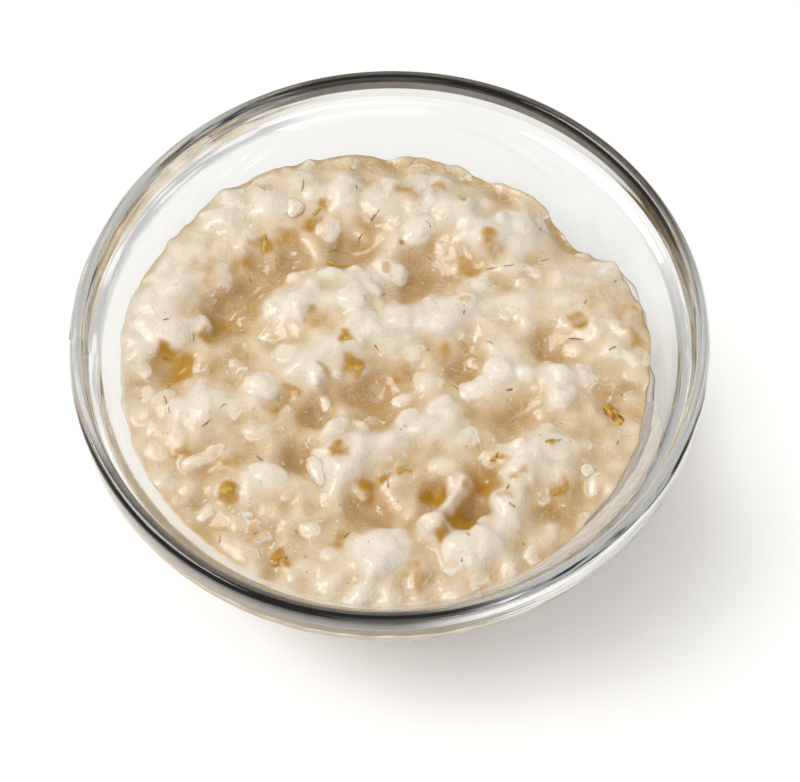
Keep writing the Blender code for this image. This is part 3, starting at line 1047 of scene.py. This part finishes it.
def variants(kind, maker, first_seed, count=5):
    """A collection, out of the scene, of differing shapes of one kind."""
    group = bpy.data.collections.new(f"{kind}_variants")
    for index in range(count):
        variant = maker(f"{kind}_{index}", first_seed + index)
        bpy.context.scene.collection.objects.unlink(variant)
        group.objects.link(variant)
    return group


def put_away(group):
    for variant in list(group.objects):
        bpy.data.objects.remove(variant)
    bpy.data.collections.remove(group)


def plant(name, items, group, material, tree):
    """One mesh of many small things. Each item has a middle, a size, a turn and a tint."""
    piece = new_piece(name, [item["middle"] for item in items])
    store(piece.data, "turn", [tuple(item["turn"]) for item in items], "FLOAT_VECTOR")
    store(piece.data, "size", [tuple(item["size"]) for item in items], "FLOAT_VECTOR")
    store(piece.data, "tint", [item["tint"] for item in items])
    picks = [item["pick"] % len(group.objects) for item in items]
    piece.data.attributes.new("pick", "INT", "POINT").data.foreach_set("value", picks)
    run_tree(piece, tree, {"Variants": group, "Material": material, "Overall Size": 1.0})
    piece.data.shade_smooth()
    belongs(piece, "porridge")
    return piece


def laid(top, x, y, spin, size, pick, tint, sunk=0.0):
    """An item that lies along the top at (x, y), turned by spin degrees."""
    step = 0.8 * MM
    here = read_at(top["height"], x, y)
    east = read_at(top["height"], x + step, y)
    north = read_at(top["height"], x, y + step)
    normal = Vector((here - east, here - north, step)).normalized()
    along = Vector((math.cos(math.radians(spin)), math.sin(math.radians(spin)), 0.0))
    along = (along - normal * along.dot(normal)).normalized()
    turn = Matrix((along, normal.cross(along), normal)).transposed().to_euler()
    middle = Vector((x, y, here)) - normal * sunk
    return {"middle": middle, "size": Vector(size), "turn": turn, "pick": pick, "tint": tint}


def make_whole_grains(top, grains, finish, tree):
    """The grains that stand out of the gel, each a body of its own."""
    group = variants("grain", swollen_grain, 0, 9)
    items = []
    for index, one in enumerate(grains):
        flat = Vector((one["size"].x * 1.2, one["size"].y * 1.2, one["size"].z * 0.75))
        middle = one["middle"] + Vector((0.0, 0.0, one["size"].z - flat.z - 0.2 * MM))
        items.append({**one, "size": flat, "middle": middle, "pick": index, "tint": one["white"]})
    piece = plant("porridge_grains", items, group, finish, tree)
    put_away(group)
    mesh = piece.data
    points = np.zeros(len(mesh.vertices) * 3)
    mesh.vertices.foreach_get("co", points)
    x, y, z = points.reshape(-1, 3).T
    white = np.zeros(len(mesh.vertices))
    mesh.attributes["tint"].data.foreach_get("value", white)
    # Painted shade: each grain's colour follows how high its points stand above the gel, darker and more
    # golden where it meets the gel and lighter towards its top.
    above = (z - read_raster(top["height"], x, y)) / MM
    store(mesh, "white", white)
    store(mesh, "seam", np.exp(-((above / 0.35) ** 2)))
    store(mesh, "cavity", read_raster(top["cavity"], x, y) * 0.5 - np.clip(above, 0.0, 1.5) * 0.4)
    for name in ("gold", "hollow", "core"):
        store(mesh, name, read_raster(top[name], x, y))
    store(mesh, "ring", np.clip(0.95 - above * 0.9, 0.0, 1.0))


def standing_out(top, grains, least):
    """The grains whose tops stand at least that far out of the gel."""
    chosen = []
    for one in grains:
        middle = one["middle"]
        if middle.z + one["size"].z - read_at(top["height"], middle.x, middle.y) > least:
            chosen.append(one)
    return chosen


def bran_finish(name, dark, light, roughness):
    """Husk and bran: amber to dark brown, streaked along its length and a little wet."""
    material, w, shader = new_finish(name)
    lay = w.attribute("lay", out=1)
    place = w.object_place()
    tint = w.attribute("tint")
    stretched = w.vectors("MULTIPLY", lay, (1.2, 9.0, 3.0))
    streak = w.noise(stretched, 1.6, 3.0, 0.65)
    blotch = w.noise(place, 700.0, 2.0)
    share = (streak - 0.5) * 1.5 + (blotch - 0.5) * 1.4 + tint * 0.4 + 0.32
    set_shader(w, shader, {
        "Base Color": w.mixed(share.between(0.15, 0.9), dark, light),
        "Roughness": roughness + blotch * 0.2,
        "Coat Weight": 0.1 + streak * 0.3,
        "Coat Roughness": 0.15,
        "Subsurface Weight": 0.4,
        "Subsurface Radius": (1.0, 0.5, 0.15),
        "Subsurface Scale": 0.8 * MM,
        "Normal": w.relief(0.4, 0.1 * MM, streak),
    })
    return material


# Husk flakes that show one by one, in millimetres and degrees: (x, y, turn, length, width share, tint)
HUSKS = (
    (49.6, -15.4, -62, 7.0, 1.15, 0.35), (-10, 5, -20, 3.2, 1.0, 0.8), (-8, -1.5, 15, 3.4, 1.3, 0.9),
    (17, 43, 60, 2.8, 1.0, 0.9), (-15, 41, 40, 3.4, 0.9, 0.7), (-28, 32, 80, 4.6, 0.7, 0.7),
    (-17, 37, 60, 3.6, 0.8, 0.6), (-12, 27.5, -10, 3.6, 0.9, 0.9), (4, 31.5, 0, 1.8, 1.3, 0.9),
    (-22, -7, 50, 3.0, 0.9, 0.6), (-25.5, -11.5, 85, 3.2, 0.6, 0.7), (-36, -31.5, 20, 3.2, 1.2, 0.9),
    (-25, -48, 30, 3.0, 1.1, 0.6), (-1.5, -29, 88, 4.0, 0.6, 0.8), (2, -26.5, 30, 3.0, 1.0, 0.9),
    (22.5, -24.5, 40, 3.2, 0.9, 0.6), (35, -22, 10, 3.0, 1.0, 0.9), (36, -33, 35, 4.0, 0.7, 0.6),
    (19, -30.5, 25, 3.6, 0.9, 0.3), (24.5, -33, 75, 4.4, 0.5, 0.7), (-50, 3, -35, 4.0, 0.8, 0.4),
    (43, 9, 10, 2.6, 1.0, 0.4), (10, 29, -30, 2.4, 0.9, 0.6), (24, 19, -45, 3.0, 0.9, 0.9),
)

# Bran slivers that show one by one, in millimetres and degrees: (x, y, turn, length, tint)
SLIVERS = (
    (-19, 47, 80, 3.8, 0.5), (-3, 38.5, 50, 6.0, 0.5), (-5.5, 34, 60, 3.4, 0.5),
    (-49.5, -4, 65, 1.8, 0.2), (-50, -8.5, -75, 2.6, 0.3), (-49, -11.5, -85, 1.8, 0.2),
    (-41, -15.5, 40, 3.4, 0.3), (-37, -11.5, 40, 2.2, 0.7), (-29, -24, -42, 3.2, 0.1),
    (-24, -26, -20, 1.6, 0.4), (-38, -42.5, 88, 2.4, 0.2), (-30, -41.5, 25, 1.6, 0.1),
    (14, -6.5, -45, 3.4, 0.2), (14.8, -5, -65, 2.2, 0.5), (24, 24.5, 2, 3.0, 0.1),
    (28, 24.8, 5, 2.6, 0.7), (42, 4.8, -14, 3.6, 0.1), (22.5, 4, -30, 2.4, 0.4),
    (36, 35.5, 70, 1.8, 0.0), (-44, 7.5, 95, 2.4, 0.4), (4.5, -3.5, 70, 1.6, 0.4),
    (-4, -6, -65, 1.8, 0.5), (-12, 31, 20, 3.4, 0.5), (36.5, 27, 18, 2.2, 0.6), (-40, -1, 75, 1.8, 0.4),
)


def make_small_things(top, helping, tree):
    """Husk flakes, slivers and specks: the chosen ones planted, the rest scattered over the top."""
    husk = bran_finish("amber_husk", (0.24, 0.085, 0.003), (0.72, 0.42, 0.045), 0.35)
    bran = bran_finish("brown_bran", (0.14, 0.055, 0.010), (0.52, 0.29, 0.07), 0.50)
    flakes = variants("flake", husk_flake, 40)
    slivers = variants("sliver", bran_sliver, 60)
    specks = variants("speck", bran_speck, 80)
    items = []
    for index, (x, y, turn, length, plump, tint) in enumerate(HUSKS):
        half = length * 0.6 * MM
        size = (half, half * plump, half * 0.7)
        items.append(laid(top, x * MM, y * MM, turn, size, index, tint, 0.20 * MM))
    plant("husk_flakes", items, flakes, husk, tree)
    items = []
    for index, (x, y, turn, length, tint) in enumerate(SLIVERS):
        size = (length * MM / 2.0, length * MM / 2.0, 1.4 * MM)
        items.append(laid(top, x * MM, y * MM, turn, size, index, tint, -0.02 * MM))
    plant("bran_slivers", items, slivers, bran, tree)
    scatter = scattering_tree()
    kinds = (
        ("husk_crumbs", flakes, husk, 9000.0, 0.35 * MM, 0.9 * MM, 0.10 * MM, 3),
        ("bran_specks", specks, bran, 22000.0, 0.08 * MM, 0.20 * MM, 0.04 * MM, 7),
        ("golden_specks", specks, husk, 30000.0, 0.12 * MM, 0.34 * MM, 0.12 * MM, 11),
    )
    for name, group, finish, density, smallest, largest, sunk, seed in kinds:
        piece = new_piece(name, [])
        piece.data = helping.data.copy()
        run_tree(piece, scatter, {
            "Variants": group,
            "Material": finish,
            "Per Square Metre": density,
            "Smallest": smallest,
            "Largest": largest,
            "Reach": 56.5 * MM,
            "Sunk": sunk,
            "Seed": seed,
        })
        piece.data.shade_smooth()
        belongs(piece, "porridge")
    for group in (flakes, slivers, specks):
        put_away(group)


# ---------------------------------------------------------------- thin gel on the glass

# Where the clear gel ends on the wall at the right, and a thin milky smear beside it:
# (degrees round the bowl, height in millimetres)
GEL_EDGE = (
    (-46, 34.9), (-40, 36.3), (-33, 37.7), (-25, 38.6), (-19, 37.6), (-13, 36.6), (-8, 37.2),
    (-4, 35.6), (2, 34.4), (8, 36.3), (15, 36.5), (24, 34.6),
)
SMEAR_EDGE = (
    (-74, 38.0), (-66, 43.0), (-56, 45.2), (-36, 45.4), (-26, 44.5), (-18, 40.0), (-12, 37.0),
)
FILM_STEPS = 150
FILM_BANDS = 9


def make_film(name, turns_and_heights, depth, thickness, material):
    """A film left on the wall: rounded and thickest along its wavy top edge, thin below."""
    turns, heights = np.array(turns_and_heights).T
    degrees = np.linspace(turns[0], turns[-1], FILM_STEPS)
    edges = np.interp(degrees, turns, heights) * MM
    around = np.radians(degrees)
    wave = np.sin(around * 47.0) * 0.22 * MM + np.sin(around * 19.0 + 1.0) * 0.3 * MM
    edges = np.convolve(np.pad(edges, 4, mode="edge"), np.ones(9) / 9.0, mode="valid") + wave
    shares = np.linspace(0.0, 1.0, FILM_BANDS)
    bead = 0.45 + 0.55 * np.exp(-(((shares - 0.12) / 0.14) ** 2))
    rounding = np.sqrt(np.clip(shares / 0.08, 0.0, 1.0))
    points = []
    for step, (turn, edge) in enumerate(zip(around, edges)):
        taper = math.sin(math.pi * (step + 0.5) / FILM_STEPS) ** 0.35
        rows = edge - depth * shares**1.5
        wall = ball_radius(rows, INNER_CURVE)
        inner = wall - thickness * bead * rounding * taper
        ring = list(zip(inner, rows)) + list(zip(wall[::-1] + 0.08 * MM, rows[::-1]))
        points += [(radius * math.cos(turn), radius * math.sin(turn), z) for radius, z in ring]
    film = new_piece(name, points, (), tube_faces(FILM_STEPS, 2 * FILM_BANDS))
    face_outwards(film.data)
    film.data.shade_smooth()
    film.data.materials.append(material)
    belongs(film, "porridge")


def make_films():
    clear, w, shader = new_finish("thin_gel")
    ripple = w.noise(w.object_place(), 260.0)
    set_shader(w, shader, {
        "Base Color": (0.95, 0.93, 0.91),
        "Roughness": 0.04 + ripple * 0.08,
        "IOR": 1.36,
        "Transmission Weight": 0.9,
        "Normal": w.relief(0.3, 0.3 * MM, ripple),
    })
    make_film("gel_film", GEL_EDGE, 5.0 * MM, 0.55 * MM, clear)
    milky, w, shader = new_finish("milky_smear")
    place = w.object_place()
    streak = w.noise(w.vectors("MULTIPLY", place, (1.0, 1.0, 3.0)), 160.0, 4.0, 0.6)
    height = w.parts(place)[2]
    fade = 1.0 - (height - 38.0 * MM).between(0.0, 8.5 * MM)
    set_shader(w, shader, {
        "Base Color": w.mixed(streak, (0.74, 0.66, 0.56), (0.90, 0.86, 0.80)),
        "Roughness": 0.30 + streak * 0.2,
        "IOR": 1.36,
        "Alpha": (streak * 0.9 - 0.12 + fade * 0.25).between(0.0, 1.0) * 0.85,
    })
    make_film("milk_smear", SMEAR_EDGE, 10.5 * MM, 0.14 * MM, milky)


# ---------------------------------------------------------------- table, light and camera

def plain(name, colour, roughness):
    material, w, shader = new_finish(name)
    set_shader(w, shader, {"Base Color": colour, "Roughness": roughness})
    return material


def make_table():
    half = 1.5
    corners = [(-half, -half, 0.0), (half, -half, 0.0), (half, half, 0.0), (-half, half, 0.0)]
    table = new_piece("table", corners, (), [(0, 1, 2, 3)])
    table.data.materials.append(plain("white_table", (0.985, 0.967, 0.950), 0.6))


LAMP_AIM = Vector((0.0, 0.0, 30.0 * MM))


def soft_lamp(name, place, side, power):
    """A square lamp, its side in metres and its power in watts, aimed at the bowl."""
    data = bpy.data.lights.new(name, "AREA")
    data.size = side
    data.energy = power
    lamp = new_object(name, data)
    lamp.location = place
    lamp.rotation_euler = (LAMP_AIM - Vector(place)).to_track_quat("-Z", "Y").to_euler()


def make_light():
    world = bpy.data.worlds.new("studio")
    bpy.context.scene.world = world
    world.use_nodes = True
    surround = {"Color": (1.0, 1.0, 1.0), "Strength": 0.55}
    set_shader(Writer(world.node_tree), world.node_tree.nodes["Background"], surround)
    soft_lamp("key_window", (-0.74, 0.10, 1.25), 0.65, 12.3)
    soft_lamp("front_fill", (0.15, -1.0, 1.15), 1.0, 4.3)


CAMERA_PLACE = Vector((0.0, -249.4 * MM, BOWL_HEIGHT + 421.5 * MM))
CAMERA_AIM = Vector((2.13 * MM, 12.69 * MM, 0.0))
CAMERA_LEAN_DEG = -1.67
LENS_MM = 101.08


def make_camera():
    data = bpy.data.cameras.new("camera")
    data.lens = LENS_MM
    camera = new_object("camera", data)
    camera.location = CAMERA_PLACE
    look = (CAMERA_AIM - CAMERA_PLACE).to_track_quat("-Z", "Y").to_matrix()
    camera.rotation_euler = (look @ Matrix.Rotation(math.radians(CAMERA_LEAN_DEG), 3, "Z")).to_euler()
    bpy.context.scene.camera = camera


# ---------------------------------------------------------------- putting it together

make_bowl()
top_shape = Top()
lumps = chosen_lumps(top_shape.base)
sizes = ((4.5 * MM, 8.0 * MM), (0.55, 0.85), (-0.5 * MM, 0.6 * MM), 0.9)
fillers = filler_grains(top_shape.base, 5.2 * MM, 1.3 * MM, *sizes)
sizes = ((1.8 * MM, 3.6 * MM), (0.6, 0.95), (-0.9 * MM, -0.1 * MM), 0.7)
bits = filler_grains(top_shape.base, 4.0 * MM, 1.3 * MM, *sizes)
inside = [one for one in fillers if one["middle"].xy.length < 54.0 * MM]
whole = inside[::2]
for one in lumps + fillers + bits + edge_lumps(top_shape.base):
    lowered = {**one, "middle": one["middle"] - Vector((0.0, 0.0, CORE_BELOW_GRAIN))}
    top_shape.add(lowered if one in whole else one)
top = top_shape.finished()
helping = make_helping(top, porridge_finish("cooked_porridge", 1.5 * MM, (1.0, 0.66, 0.40)))
planting = planting_tree()
whole = standing_out(top, whole, LEAST_STANDING_OUT)
make_whole_grains(top, whole, porridge_finish("swollen_grains", 1.1 * MM, (1.0, 0.68, 0.42)), planting)
make_small_things(top, helping, planting)
make_films()
make_table()
make_light()
make_camera()
bpy.context.scene.view_settings.view_transform = "Standard"
